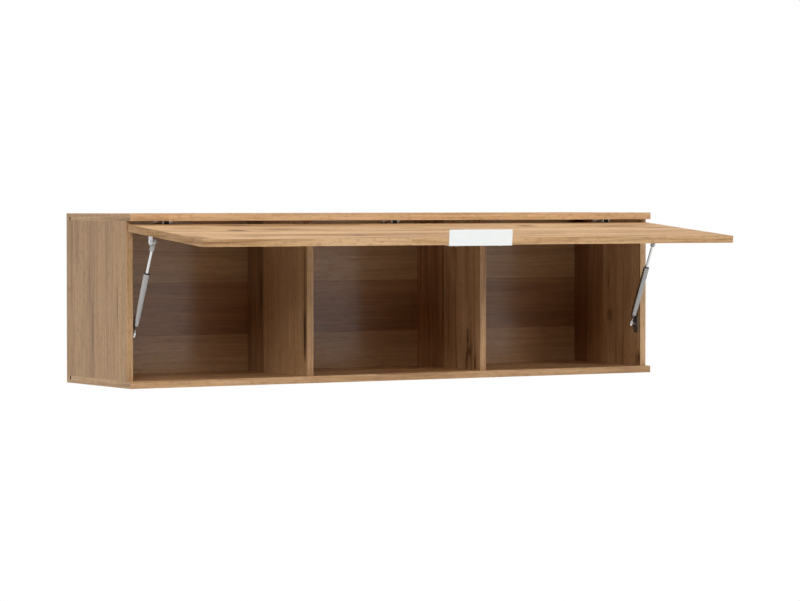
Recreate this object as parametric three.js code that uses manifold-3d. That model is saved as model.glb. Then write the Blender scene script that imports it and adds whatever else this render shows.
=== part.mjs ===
// Lift-up wall cabinet: a wide three-bay box on the wall, closed by one flap that swings up on
// concealed hinges and is held open by two gas struts. It is shown with the flap fully open.
//
// Frame: millimetres, +X along the width to the right, +Y to the wall, +Z up. The origin is the
// middle of the top panel's rear edge, which rests on the wall.
// Most pieces are placed in the cabinet's own measures: x from the middle, y from the front plane
// of the top and bottom panels (back is positive), z from the underside of the top panel (down is
// negative). The outer group moves all of them to the origin above.

import * as THREE from 'three';
import { mergeVertices } from 'three/addons/utils/BufferGeometryUtils.js';
import Module from 'manifold-3d';

const wasm = await Module();
wasm.setup();

// ---- Driving dimensions -------------------------------------------------------------------

// Carcass
const CABINET_WIDTH = 1400;
const CABINET_HEIGHT = 385;
const CABINET_DEPTH = 320;
const BOARD = 16;
const BACK_PANEL = 3;
const BACK_RECESS = 16.5; // from the back panel's rear face to the rear edges of the boards
const GROOVE_DEPTH = 7;
const BAYS = 3;
const TONGUE_HEIGHT = 5; // on a divider's ends, into stopped grooves of the panels
const TONGUE_THICKNESS = 8;
const TONGUE_SETBACK = 25; // from the divider's front edge

// Clearances
const SEAT_GAP = 0.3; // between pieces that touch on the real cabinet
const GROOVE_PLAY = 0.5; // between the back panel's rim and the bottom of its groove
const DOWEL_PLAY = 0.15;

// Flap
const FLAP_BOARD = 16;
const FLAP_TOP_GAP = 3;
const FLAP_BOTTOM_GAP = 3;
const FLAP_SIDE_GAP = 2;
const FLAP_BACK_GAP = 3.8; // between the closed flap and the front edges behind it
const FLAP_OPENING = 85.15; // degrees
const AXIS_BEHIND_FACE = 4; // effective hinge axis, behind the closed flap's outer face
const AXIS_BELOW_EDGE = 9.5; // and below its upper edge

// Edge handle
const HANDLE_LENGTH = 166;
const HANDLE_SHEET = 1.6;
const HANDLE_LIP = 18; // reach in front of the flap's outer face
const HANDLE_LEG = 20; // height on the flap's inner face
const HANDLE_SCREW_INSET = 25;

// Wood screws of the handle
const SCREW_SHANK_RADIUS = 1.75;
const SCREW_HEAD_RADIUS = 4;
const SCREW_HEAD_HEIGHT = 2;
const SCREW_LENGTH = 12;

// Concealed hinges
const HINGE_COUNT = 3;
const HINGE_END_DISTANCE = 107; // from the cabinet's end to the outer hinges' middle
const CUP_RADIUS = 17.5;
const CUP_DEPTH = 10.5;
const CUP_WALL = 1;
const CUP_EDGE_DISTANCE = 3.5; // from the flap's edge to the cup's wall
const CUP_FLANGE = 1;
const CUP_FLANGE_RIM = 2;
const CUP_WING_SPAN = 58;
const CUP_WING_WIDTH = 15;
const CUP_WING_OFFSET = 6;
const CUP_SCREW_SPACING = 45;
const CUP_PIN_DEPTH = 4.2; // link's far pin, below the flap's inner face
const CUP_PIN_FROM_EDGE = 7.65; // and from the flap's upper edge
const CUP_PIN_REACH = 5.5; // half its length
const LINK_PIVOT_BEHIND_FLAP = 5; // link's fixed pin, behind the closed flap's inner face
const LINK_PIVOT_BELOW_TOP = 22;
const LINK_THICKNESS = 2;
const LINK_WIDTH = 10;
const LINK_DROP = 4.4; // how far the link's neck passes below its fixed pin
const LINK_NECK_FALL = 0.5; // and how much lower its far end lies
const LINK_EYE_RADIUS = 3;
const PIN_RADIUS = 1.5;
const PIN_HEAD_RADIUS = 2.5;
const ARM_WIDTH = 18;
const ARM_WALL = 2;
const ARM_HEIGHT = 9;
const ARM_REAR = 80; // rear end of the arm, behind the cabinet's front plane
const ARM_CROWN_REAR = 46; // in front of this the arm rises past its plate to the top panel
const ARM_SHOULDER = 34; // upright front edge of the arm's crown
const ARM_BROW = 6; // how far below the panel the arm starts to drop towards its pin
const DAMPER_FOOT = 4; // front to back, at its lower end
const DAMPER_HEAD = 6.5; // and at its upper end
const DAMPER_SETBACK = 1.5; // behind the front edges of the arm's cheeks
const PLATE_THICKNESS = 3;
const PLATE_SPAN = 52;
const PLATE_WING = 13;
const PLATE_SCREW_SPACING = 36;
const PLATE_MIDDLE = 55; // wing's middle, behind the cabinet's front plane

// Gas struts
const STRUT_INSET = 12.4; // strut's plane, inboard of the side panel's inner face
const BASE_BEHIND_EDGE = 20.4; // base ball, behind the side panel's front edge
const BASE_ABOVE_FLOOR = 100.5;
const STUD_FROM_EDGE = 72.3; // flap's ball, from the flap's upper edge
const STUD_ABOVE_FLAP = 15.1; // and from its inner face
const TUBE_RADIUS = 7;
const TUBE_WALL = 1;
const TUBE_END = 14; // tube's closed and narrowed end, from the base ball
const TUBE_CONE = 11; // length over which it narrows
const TUBE_MOUTH = 151; // tube's open end, from the base ball
const ROD_RADIUS = 3;
const ROD_CLEARANCE = 0.3;
const PISTON_LENGTH = 6;
const PISTON_BELOW_MOUTH = 21; // with the strut fully extended
const SEAL_DEPTH = 8;
const SEAL_LIP = 1;
const SEAL_LIP_RADIUS = 5.6;
const SOCKET_RADIUS = 5.6;
const SOCKET_WIDTH = 8.4;
const SOCKET_SLEEVE_TOP = 7.5; // sleeve round the rod's end, from the ball
const SOCKET_SLEEVE_END = 22;
const SOCKET_SLEEVE_RADIUS = 5.4;
const CLIP_WIRE = 0.8; // spring clip that locks the socket on its ball
const CLIP_TAIL = 5;
const CLIP_TAIL_TURN = 30; // degrees from level
const BALL_RADIUS = 3.6;
const STUD_RADIUS = 2.2;
const NECK_RADIUS = 2.9;
const EYE_RADIUS = 4.8;
const EYE_FOOT = 4.5; // from the base ball down to the fitting's end
const EYE_COLLAR_RADIUS = 5.4;
const EYE_COLLAR_HEIGHT = 2;

// Strut brackets
const BRACKET_SHEET = 2;
const EAR_FROM_SIDE = 4; // flap bracket's ear, from the side panel's inner face
const EAR_WIDTH = 16;
const FOOT_WIDTH = 24;
const FOOT_LENGTH = 40;
const SIDE_PLATE_HEIGHT = 43;
const SIDE_PLATE_WIDTH = 17;
const SIDE_PLATE_RIM = 3.4; // height of its raised rim
const SIDE_PLATE_RIM_WALL = 1.2;
const SIDE_PLATE_FORWARD = 4.7; // plate's middle, in front of the base ball
const BRACKET_SCREW_INSET = 7; // screws, from the ends of a bracket

// Cabinet hangers
const HANGER_WIDTH = 18;
const HANGER_DEPTH = 60;
const HANGER_HEIGHT = 42;
const HANGER_BELOW_TOP = 10;
const HOOK_SHEET = 3;
const HOOK_HEIGHT = 16;
const HOOK_REACH = 14.5; // how far the hook stands behind the back panel
const HOOK_CLAW = 12;
const HOOK_CLAW_THICKNESS = 4;
const HOOK_TONGUE = 12;
const NOTCH_MARGIN = 4; // play around the hook in the back panel

// Dowels
const DOWEL_RADIUS = 4;
const DOWEL_LENGTH = 30;
const DOWEL_IN_END = 20; // depth of the hole in the upright board
const DOWEL_INSET = 45; // outer dowels, from the front and rear edges of the upright

// Small heads of screws that are one piece with their plate
const HEAD_RADIUS = 3.4;
const HEAD_HEIGHT = 1.4;

// Roundness of turned pieces, in sides
const SIDES_LARGE = 36;
const SIDES_MEDIUM = 24;
const SIDES_SMALL = 12;
const ARC_STEPS = 10; // of an arc in an outline
const SAME_POINT = 1e-4; // corners closer than this are one

// ---- Places worked out from them ----------------------------------------------------------

const ENDS = [['left', -1], ['right', 1]];
const innerWidth = CABINET_WIDTH - 2 * BOARD;
const innerHeight = CABINET_HEIGHT - 2 * BOARD;
const sideInnerX = CABINET_WIDTH / 2 - BOARD;
const sideMiddleX = sideInnerX + BOARD / 2;
const floorZ = -innerHeight;
const edgeY = FLAP_BOARD + FLAP_BACK_GAP; // front edges of the sides and dividers
const backRearY = CABINET_DEPTH - BACK_RECESS;
const backFrontY = backRearY - BACK_PANEL;

const flapWidth = CABINET_WIDTH - 2 * FLAP_SIDE_GAP;
const flapTopZ = -FLAP_TOP_GAP;
const flapBottomZ = floorZ + FLAP_BOTTOM_GAP;
const axisY = AXIS_BEHIND_FACE;
const axisZ = flapTopZ - AXIS_BELOW_EDGE;
const openingAngle = THREE.MathUtils.degToRad(FLAP_OPENING);

const linkPivot = { y: FLAP_BOARD + LINK_PIVOT_BEHIND_FLAP, z: -LINK_PIVOT_BELOW_TOP };
const cupPin = openPlace(FLAP_BOARD - CUP_PIN_DEPTH, flapTopZ - CUP_PIN_FROM_EDGE);

const ballX = sideInnerX - STRUT_INSET;
const baseBall = { y: edgeY + BASE_BEHIND_EDGE, z: floorZ + BASE_ABOVE_FLOOR };
const studClosed = { y: FLAP_BOARD + STUD_ABOVE_FLAP, z: flapTopZ - STUD_FROM_EDGE };
const studOpen = openPlace(studClosed.y, studClosed.z);
const strutLength = Math.hypot(studOpen.y - baseBall.y, studOpen.z - baseBall.z);
const strutTilt = Math.atan2(baseBall.y - studOpen.y, studOpen.z - baseBall.z);
const rodTopZ = -SOCKET_SLEEVE_TOP - ROD_CLEARANCE; // from the flap's ball

const dividerXs = Array.from({ length: BAYS - 1 }, (unused, index) =>
  CABINET_WIDTH * ((index + 1) / BAYS - 0.5));
const hingeReach = CABINET_WIDTH / 2 - HINGE_END_DISTANCE;
const hingeXs = Array.from({ length: HINGE_COUNT }, (unused, index) =>
  -hingeReach + (2 * hingeReach * index) / (HINGE_COUNT - 1));

/** Where a point of the closed flap lies once the flap is open, in the cabinet's measures. */
function openPlace(y, z) {
  const cos = Math.cos(openingAngle);
  const sin = Math.sin(openingAngle);
  const fromAxisY = y - axisY;
  const fromAxisZ = z - axisZ;
  return { y: axisY + fromAxisY * cos + fromAxisZ * sin, z: axisZ - fromAxisY * sin + fromAxisZ * cos };
}

// ---- Materials ----------------------------------------------------------------------------

const oak = new THREE.MeshStandardMaterial({ color: 0xc49a6c, roughness: 0.55, metalness: 0 });
const fibreboard = new THREE.MeshStandardMaterial({ color: 0x8a6a48, roughness: 0.7, metalness: 0 });
const beech = new THREE.MeshStandardMaterial({ color: 0xc8a06a, roughness: 0.8, metalness: 0 });
const whiteMetal = new THREE.MeshStandardMaterial({ color: 0xf3f5f3, roughness: 0.4, metalness: 0 });
const nickel = new THREE.MeshStandardMaterial({ color: 0xa8a49e, roughness: 0.35, metalness: 1 });
const zinc = new THREE.MeshStandardMaterial({ color: 0xb8bcc0, roughness: 0.4, metalness: 1 });
const tubeSteel = new THREE.MeshStandardMaterial({ color: 0x9c9a97, roughness: 0.4, metalness: 0.8 });
const chrome = new THREE.MeshStandardMaterial({ color: 0xdcdcdc, roughness: 0.12, metalness: 1 });
const darkSteel = new THREE.MeshStandardMaterial({ color: 0x2a2a2c, roughness: 0.5, metalness: 0.8 });
const blackPlastic = new THREE.MeshStandardMaterial({ color: 0x1c1c1e, roughness: 0.5, metalness: 0 });
const greyPlastic = new THREE.MeshStandardMaterial({ color: 0x9aa09a, roughness: 0.5, metalness: 0 });
const whitePlastic = new THREE.MeshStandardMaterial({ color: 0xe6e4df, roughness: 0.5, metalness: 0 });

// ---- Solid shapes -------------------------------------------------------------------------

const ACROSS = new THREE.Matrix4().makeBasis(
  new THREE.Vector3(0, 1, 0), new THREE.Vector3(0, 0, 1), new THREE.Vector3(1, 0, 0));

/** A solid for cutting and joining, from a closed three.js geometry. */
function solid(geometry) {
  const bare = geometry.index ? geometry.toNonIndexed() : geometry.clone();
  bare.deleteAttribute('normal');
  bare.deleteAttribute('uv');
  const merged = mergeVertices(bare, SAME_POINT);
  const corners = merged.index.array;
  const triVerts = [];
  for (let first = 0; first < corners.length; first += 3) {
    const [a, b, c] = [corners[first], corners[first + 1], corners[first + 2]];
    if (a !== b && b !== c && c !== a) triVerts.push(a, b, c);
  }
  return new wasm.Manifold(new wasm.Mesh({
    numProp: 3,
    vertProperties: new Float32Array(merged.attributes.position.array),
    triVerts: new Uint32Array(triVerts),
  }));
}

/** The geometry of a solid. */
function shell(manifold) {
  const mesh = manifold.getMesh();
  const geometry = new THREE.BufferGeometry();
  geometry.setAttribute('position', new THREE.BufferAttribute(new Float32Array(mesh.vertProperties), 3));
  geometry.setIndex(new THREE.BufferAttribute(new Uint32Array(mesh.triVerts), 1));
  geometry.computeVertexNormals();
  return geometry;
}

const joined = (first, ...others) =>
  shell(others.reduce((sum, next) => sum.add(solid(next)), solid(first)));
const cutBy = (first, ...tools) =>
  shell(tools.reduce((rest, tool) => rest.subtract(solid(tool)), solid(first)));

/** A box between two corners. */
function block(x0, x1, y0, y1, z0, z1) {
  const box = new THREE.BoxGeometry(x1 - x0, y1 - y0, z1 - z0);
  return box.translate((x0 + x1) / 2, (y0 + y1) / 2, (z0 + z1) / 2);
}

/** An outline drawn in y and z, as thick as `width` along X, around the middle `x`. */
function slabAcross(outline, width, x = 0) {
  const shape = new THREE.Shape(outline.map(([y, z]) => new THREE.Vector2(y, z)));
  const slab = new THREE.ExtrudeGeometry(shape, { depth: width, bevelEnabled: false });
  return slab.applyMatrix4(ACROSS).translate(x - width / 2, 0, 0);
}

/** An outline drawn in x and y, from `bottom` to `bottom + height` along Z. */
function slabUp(outline, bottom, height) {
  const shape = new THREE.Shape(outline.map(([x, y]) => new THREE.Vector2(x, y)));
  return new THREE.ExtrudeGeometry(shape, { depth: height, bevelEnabled: false }).translate(0, 0, bottom);
}

/** A turned piece: `profile` lists [radius, height] round the outline, and it stands on Z. */
function turned(profile, sides) {
  const points = profile.map(([radius, height]) => new THREE.Vector2(radius, height));
  return new THREE.LatheGeometry(points, sides).rotateX(Math.PI / 2);
}

/** A round bar along X, Y or Z, from one end to the other. */
function bar(axis, radius, from, to, sides) {
  const cylinder = new THREE.CylinderGeometry(radius, radius, to - from, sides);
  const middle = (from + to) / 2;
  if (axis === 'x') return cylinder.rotateZ(Math.PI / 2).translate(middle, 0, 0);
  if (axis === 'y') return cylinder.translate(0, middle, 0);
  return cylinder.rotateX(Math.PI / 2).translate(0, 0, middle);
}

/** A flat strip between two points in the y-z plane, `width` wide along X. */
function strip(from, to, thickness, width) {
  const length = Math.hypot(to.y - from.y, to.z - from.z);
  const box = new THREE.BoxGeometry(width, length, thickness);
  const angle = Math.atan2(to.z - from.z, to.y - from.y);
  return box.rotateX(angle).translate(0, (from.y + to.y) / 2, (from.z + to.z) / 2);
}

/** Points of an arc round (u, v), both angles in degrees. */
function arc(u, v, radius, from, to) {
  return Array.from({ length: ARC_STEPS + 1 }, (unused, step) => {
    const angle = THREE.MathUtils.degToRad(from + ((to - from) * step) / ARC_STEPS);
    return [u + radius * Math.cos(angle), v + radius * Math.sin(angle)];
  });
}

/** A screw head on a plate that faces along -Z, at x and y, standing below `z`. */
function headBelow(x, y, z) {
  return bar('z', HEAD_RADIUS, z - HEAD_HEIGHT, z + HEAD_HEIGHT / 2, SIDES_SMALL).translate(x, y, 0);
}

// ---- Groups that carry the pieces ---------------------------------------------------------

const cabinet = new THREE.Group();
cabinet.position.set(0, -CABINET_DEPTH, -BOARD / 2);

// Pieces of the flap are drawn as the flap is closed, measured from its hinge axis.
const flap = new THREE.Group();
flap.position.set(0, axisY, axisZ);
flap.rotation.x = -openingAngle;
cabinet.add(flap);

function place(parent, name, geometry, material) {
  const mesh = new THREE.Mesh(geometry, material);
  mesh.name = name;
  parent.add(mesh);
  return mesh;
}

const onCabinet = (name, geometry, material) => place(cabinet, name, geometry, material);
const onFlap = (name, geometry, material) =>
  place(flap, name, geometry.translate(0, -axisY, -axisZ), material);

// ---- Carcass ------------------------------------------------------------------------------

const dowelYs = [edgeY + DOWEL_INSET, CABINET_DEPTH - DOWEL_INSET];
const dowels = ENDS.flatMap(([end, side]) => dowelYs.flatMap((y, row) => [
  { name: `dowel_${end}_top_${row + 1}`, x: side * sideMiddleX, y, joint: 0, up: 1 },
  { name: `dowel_${end}_bottom_${row + 1}`, x: side * sideMiddleX, y, joint: floorZ, up: -1 },
]));
const dowelInPanel = DOWEL_LENGTH - DOWEL_IN_END;

/** The round hole or pin of one dowel, across the joint between an upright and a panel. */
function dowelBar(dowel, radius, inPanel, inEnd) {
  const ends = [dowel.joint + dowel.up * inPanel, dowel.joint - dowel.up * inEnd];
  return bar('z', radius, Math.min(...ends), Math.max(...ends), SIDES_SMALL).translate(dowel.x, dowel.y, 0);
}

const dowelHoles = (wanted) => dowels.filter(wanted).map((dowel) =>
  dowelBar(dowel, DOWEL_RADIUS + DOWEL_PLAY, dowelInPanel + DOWEL_PLAY, DOWEL_IN_END + DOWEL_PLAY));

/** The groove for the back panel in a horizontal board whose inner face is at z. */
function longGroove(z, into) {
  const run = CABINET_WIDTH / 2 + BOARD;
  const ends = [z - into * GROOVE_PLAY, z + into * GROOVE_DEPTH];
  return block(-run, run, backFrontY - SEAT_GAP, backRearY + SEAT_GAP,
    Math.min(...ends), Math.max(...ends));
}

/** The tongues on a divider's two ends in one block, or, with play, the grooves they sit in. */
function tongue(x, play) {
  const half = TONGUE_THICKNESS / 2 + play;
  const reach = TONGUE_HEIGHT + play;
  return block(x - half, x + half, edgeY + TONGUE_SETBACK - play, backFrontY - SEAT_GAP + play,
    floorZ - reach, reach);
}

const tongueGrooves = () => dividerXs.map((x) => tongue(x, SEAT_GAP));

function topPanel() {
  const half = CABINET_WIDTH / 2;
  const panel = block(-half, half, 0, CABINET_DEPTH, 0, BOARD);
  return cutBy(panel, longGroove(0, 1), ...tongueGrooves(), ...dowelHoles((dowel) => dowel.up > 0));
}

function bottomPanel() {
  const half = CABINET_WIDTH / 2;
  const panel = block(-half, half, 0, CABINET_DEPTH, floorZ - BOARD, floorZ);
  return cutBy(panel, longGroove(floorZ, -1), ...tongueGrooves(), ...dowelHoles((dowel) => dowel.up < 0));
}

function sidePanel(side) {
  const middle = side * sideMiddleX;
  const panel = block(middle - BOARD / 2, middle + BOARD / 2, edgeY, CABINET_DEPTH, floorZ, 0);
  const grooveXs = [side * (sideInnerX - GROOVE_PLAY), side * (sideInnerX + GROOVE_DEPTH)];
  const groove = block(Math.min(...grooveXs), Math.max(...grooveXs),
    backFrontY - SEAT_GAP, backRearY + SEAT_GAP, floorZ - BOARD, BOARD);
  return cutBy(panel, groove, ...dowelHoles((dowel) => dowel.x === middle));
}

/** A divider: a board that ends at the back panel, held in the panels by its tongues. */
function divider(x) {
  const board = block(x - BOARD / 2, x + BOARD / 2, edgeY, backFrontY - SEAT_GAP, floorZ, 0);
  return joined(board, tongue(x, 0));
}

function backPanel() {
  const rim = GROOVE_DEPTH - GROOVE_PLAY;
  const halfWidth = innerWidth / 2 + rim;
  const panel = block(-halfWidth, halfWidth, backFrontY, backRearY, floorZ - rim, rim);
  const notches = ENDS.map(([, side]) => {
    const middle = side * hookX;
    const halfNotch = HOOK_SHEET / 2 + NOTCH_MARGIN;
    return block(middle - halfNotch, middle + halfNotch, backFrontY - BACK_PANEL, backRearY + BACK_PANEL,
      hookTopZ - HOOK_HEIGHT - NOTCH_MARGIN, hookTopZ + NOTCH_MARGIN);
  });
  return cutBy(panel, ...notches);
}

// ---- Cabinet hangers ----------------------------------------------------------------------

const hookX = sideInnerX - HANGER_WIDTH / 2;
const hangerTopZ = -HANGER_BELOW_TOP;
const hangerFrontY = backFrontY - SEAT_GAP - HANGER_DEPTH;
const hangerRearY = backFrontY - SEAT_GAP;
const hookTopZ = hangerTopZ - (HANGER_HEIGHT - HOOK_HEIGHT) / 2;

/** The box that holds the hook, with a chamfered front and two wells for its adjusting screws. */
function hangerHousing(side) {
  const chamfer = HANGER_HEIGHT / 6;
  const bottomZ = hangerTopZ - HANGER_HEIGHT;
  const outline = [
    [hangerRearY, bottomZ], [hangerRearY, hangerTopZ],
    [hangerFrontY + chamfer, hangerTopZ], [hangerFrontY, hangerTopZ - chamfer],
    [hangerFrontY, bottomZ + chamfer], [hangerFrontY + chamfer, bottomZ],
  ];
  const slot = block(-HOOK_SHEET / 2 - SEAT_GAP, HOOK_SHEET / 2 + SEAT_GAP,
    hangerRearY - HOOK_TONGUE - SEAT_GAP, hangerRearY + HOOK_TONGUE,
    hookTopZ - HOOK_HEIGHT - SEAT_GAP, hookTopZ + SEAT_GAP);
  const wellDepth = HANGER_DEPTH / 8;
  const wells = [-1, 1].map((up) =>
    bar('y', HEAD_RADIUS, hangerFrontY - wellDepth, hangerFrontY + wellDepth, SIDES_SMALL)
      .translate(0, 0, (hangerTopZ + bottomZ) / 2 + (up * HANGER_HEIGHT) / 5));
  return cutBy(slabAcross(outline, HANGER_WIDTH), slot, ...wells).translate(side * hookX, 0, 0);
}

/** The steel hook: a tongue in the housing and a claw that drops behind a rail on the wall. */
function hangerHook(side) {
  const lowZ = hookTopZ - HOOK_HEIGHT;
  const endY = backRearY + HOOK_REACH;
  const tongueY = hangerRearY - HOOK_TONGUE;
  const clawY = endY - HOOK_CLAW_THICKNESS;
  const throatZ = lowZ + HOOK_HEIGHT / 3;
  const outline = [
    [tongueY, lowZ], [backRearY + SEAT_GAP, lowZ], [backRearY + SEAT_GAP, throatZ],
    [clawY, throatZ], [clawY, throatZ - HOOK_CLAW], [endY, throatZ - HOOK_CLAW],
    [endY, hookTopZ], [tongueY, hookTopZ],
  ];
  return slabAcross(outline, HOOK_SHEET, side * hookX);
}

// ---- Flap and its handle ------------------------------------------------------------------

const cupMiddleZ = flapTopZ - CUP_EDGE_DISTANCE - CUP_RADIUS;
const handleScrewXs = [-1, 1].map((side) => side * (HANDLE_LENGTH / 2 - HANDLE_SCREW_INSET));
const handleScrewZ = flapBottomZ + HANDLE_LEG / 2;

function flapDoor() {
  const half = flapWidth / 2;
  const board = block(-half, half, 0, FLAP_BOARD, flapBottomZ, flapTopZ);
  const cupFloorY = FLAP_BOARD - CUP_DEPTH - SEAT_GAP;
  const cupBores = hingeXs.map((x) =>
    bar('y', CUP_RADIUS + SEAT_GAP, cupFloorY, FLAP_BOARD + CUP_DEPTH, SIDES_LARGE)
      .translate(x, 0, cupMiddleZ));
  const pilotY = FLAP_BOARD + HANDLE_SHEET + 2 * SEAT_GAP - SCREW_LENGTH;
  const pilots = handleScrewXs.map((x) =>
    bar('y', SCREW_SHANK_RADIUS + SEAT_GAP, pilotY - SEAT_GAP, FLAP_BOARD + SCREW_LENGTH, SIDES_SMALL)
      .translate(x, 0, handleScrewZ));
  return cutBy(board, ...cupBores, ...pilots);
}

/** Bent white sheet: a leg on the inner face, a floor under the edge and a lip to pull. */
function edgeHandle() {
  const legInnerY = FLAP_BOARD + SEAT_GAP;
  const legOuterY = legInnerY + HANDLE_SHEET;
  const floorTopZ = flapBottomZ - SEAT_GAP;
  const floorLowZ = floorTopZ - HANDLE_SHEET;
  const outline = [
    [-HANDLE_LIP, floorLowZ], [legOuterY, floorLowZ], [legOuterY, flapBottomZ + HANDLE_LEG],
    [legInnerY, flapBottomZ + HANDLE_LEG], [legInnerY, floorTopZ], [-HANDLE_LIP, floorTopZ],
  ];
  const holes = handleScrewXs.map((x) =>
    bar('y', SCREW_SHANK_RADIUS + SEAT_GAP, legInnerY - HANDLE_SHEET, legOuterY + HANDLE_SHEET, SIDES_SMALL)
      .translate(x, 0, handleScrewZ));
  return cutBy(slabAcross(outline, HANDLE_LENGTH), ...holes);
}

/** A pan-head wood screw through the handle's leg, its point towards the flap's outer face. */
function handleScrew(x) {
  const seatY = FLAP_BOARD + HANDLE_SHEET + 2 * SEAT_GAP;
  const pointLength = 2 * SCREW_SHANK_RADIUS;
  const profile = [
    [0, -SCREW_LENGTH], [SCREW_SHANK_RADIUS, -SCREW_LENGTH + pointLength], [SCREW_SHANK_RADIUS, 0],
    [SCREW_HEAD_RADIUS, 0], [SCREW_HEAD_RADIUS, SCREW_HEAD_HEIGHT / 2],
    [SCREW_HEAD_RADIUS / 2, SCREW_HEAD_HEIGHT], [0, SCREW_HEAD_HEIGHT],
  ];
  return turned(profile, SIDES_SMALL).rotateX(-Math.PI / 2).translate(x, seatY, handleScrewZ);
}

// ---- Concealed hinges ---------------------------------------------------------------------

/** Cross-shaped plate under the top panel, with the ridge that the arm clips over. */
function hingePlate() {
  const ridgeHalf = ARM_WIDTH / 2 - ARM_WALL - SEAT_GAP;
  const wingEnd = PLATE_SPAN / 2 - PLATE_WING / 2;
  const wings = [
    ...arc(wingEnd, PLATE_MIDDLE, PLATE_WING / 2, -90, 90),
    ...arc(-wingEnd, PLATE_MIDDLE, PLATE_WING / 2, 90, 270),
  ];
  const spineFront = ARM_CROWN_REAR + SEAT_GAP;
  const spine = block(-ARM_WIDTH / 2, ARM_WIDTH / 2, spineFront, ARM_REAR + ARM_WALL, -PLATE_THICKNESS, 0);
  const ridgeLowZ = -PLATE_THICKNESS - ARM_HEIGHT / 2;
  const ridge = block(-ridgeHalf, ridgeHalf, spineFront + PLATE_THICKNESS, ARM_REAR - 2 * ARM_WALL,
    ridgeLowZ, -PLATE_THICKNESS / 2);
  const heads = [-1, 1].map((side) =>
    headBelow((side * PLATE_SCREW_SPACING) / 2, PLATE_MIDDLE, -PLATE_THICKNESS));
  return joined(slabUp(wings, -PLATE_THICKNESS, PLATE_THICKNESS), spine, ridge, ...heads);
}

/** Pressed arm: a channel over the plate's ridge; its cheeks rise to the panel and drop to the pin. */
function hingeArm() {
  const topZ = -PLATE_THICKNESS - SEAT_GAP;
  const lowZ = topZ - ARM_HEIGHT;
  const nose = LINK_EYE_RADIUS + SEAT_GAP;
  const webFront = linkPivot.y + 2 * LINK_EYE_RADIUS + ARM_WALL + 2 * LINK_THICKNESS;
  const webLowZ = linkPivot.z - nose;
  const cheeks = [
    [ARM_REAR, topZ], [ARM_CROWN_REAR, topZ], [ARM_CROWN_REAR, -SEAT_GAP],
    [ARM_SHOULDER, -SEAT_GAP], [ARM_SHOULDER, -ARM_BROW],
    ...arc(linkPivot.y, linkPivot.z, nose, 120, 270),
    [webFront, webLowZ], [ARM_CROWN_REAR, lowZ], [ARM_REAR, lowZ],
  ];
  const channelLowZ = lowZ + ARM_WALL;
  const channel = [
    [ARM_REAR - ARM_WALL, 0], [ARM_REAR - ARM_WALL, channelLowZ],
    [ARM_CROWN_REAR, channelLowZ], [webFront, webLowZ + ARM_WALL],
    [webFront, webLowZ - nose], [0, webLowZ - nose], [0, 0],
  ];
  const bore = bar('x', PIN_RADIUS + SEAT_GAP, -ARM_WIDTH, ARM_WIDTH, SIDES_SMALL)
    .translate(0, linkPivot.y, linkPivot.z);
  const screws = [PLATE_MIDDLE + HEAD_RADIUS, ARM_REAR - 2 * HEAD_RADIUS].map((y) => headBelow(0, y, lowZ));
  const pressed = cutBy(slabAcross(cheeks, ARM_WIDTH), slabAcross(channel, ARM_WIDTH - 2 * ARM_WALL), bore);
  return joined(pressed, ...screws);
}

/** Black soft-close damper held between the arm's cheeks, behind the link. */
function hingeDamper() {
  const half = ARM_WIDTH / 2 - ARM_WALL - SEAT_GAP;
  const headY = ARM_SHOULDER + DAMPER_SETBACK;
  const footY = linkPivot.y + LINK_EYE_RADIUS + 2 * LINK_THICKNESS;
  const lowZ = linkPivot.z - LINK_EYE_RADIUS + ARM_WALL + SEAT_GAP;
  const outline = [
    [headY, -SEAT_GAP], [headY, -ARM_BROW], [footY, -ARM_BROW - headY + footY], [footY, lowZ],
    [footY + DAMPER_FOOT, lowZ], [headY + DAMPER_HEAD, -ARM_BROW], [headY + DAMPER_HEAD, -SEAT_GAP],
  ];
  return slabAcross(outline, 2 * half);
}

/** The riveted pin that the link turns on. */
function hingePin() {
  const half = ARM_WIDTH / 2 + SEAT_GAP;
  const headThickness = PIN_RADIUS / 2;
  const profile = [
    [0, -half - headThickness], [PIN_HEAD_RADIUS, -half - headThickness], [PIN_HEAD_RADIUS, -half],
    [PIN_RADIUS, -half], [PIN_RADIUS, half], [PIN_HEAD_RADIUS, half],
    [PIN_HEAD_RADIUS, half + headThickness], [0, half + headThickness],
  ];
  return turned(profile, SIDES_SMALL).rotateY(Math.PI / 2).translate(0, linkPivot.y, linkPivot.z);
}

/** The link: an eye on the arm's pin, a neck that goes round the flap's corner, a pin in the cup. */
function hingeLink() {
  const neckZ = linkPivot.z - LINK_DROP;
  const nearKnee = { y: linkPivot.y - LINK_EYE_RADIUS - LINK_THICKNESS, z: neckZ };
  const farKnee = { y: cupPin.y + LINK_THICKNESS / 2 + SEAT_GAP, z: neckZ - LINK_NECK_FALL };
  const barrelHalf = ARM_WIDTH / 2 - ARM_WALL - SEAT_GAP;
  const atPlace = (geometry, spot) => geometry.translate(0, spot.y, spot.z);
  const eye = atPlace(bar('x', LINK_EYE_RADIUS, -barrelHalf, barrelHalf, SIDES_MEDIUM), linkPivot);
  const half = LINK_WIDTH / 2;
  const knee = (spot) => atPlace(bar('x', LINK_THICKNESS / 2, -half, half, SIDES_SMALL), spot);
  const farPin = atPlace(bar('x', PIN_RADIUS, -CUP_PIN_REACH, CUP_PIN_REACH, SIDES_SMALL), cupPin);
  const body = joined(eye,
    strip(linkPivot, nearKnee, LINK_THICKNESS, LINK_WIDTH), knee(nearKnee),
    strip(nearKnee, farKnee, LINK_THICKNESS, LINK_WIDTH), knee(farKnee),
    strip(farKnee, cupPin, LINK_THICKNESS, LINK_WIDTH), farPin);
  const bore = atPlace(bar('x', PIN_RADIUS + SEAT_GAP, -ARM_WIDTH, ARM_WIDTH, SIDES_SMALL), linkPivot);
  return cutBy(body, bore);
}

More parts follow.
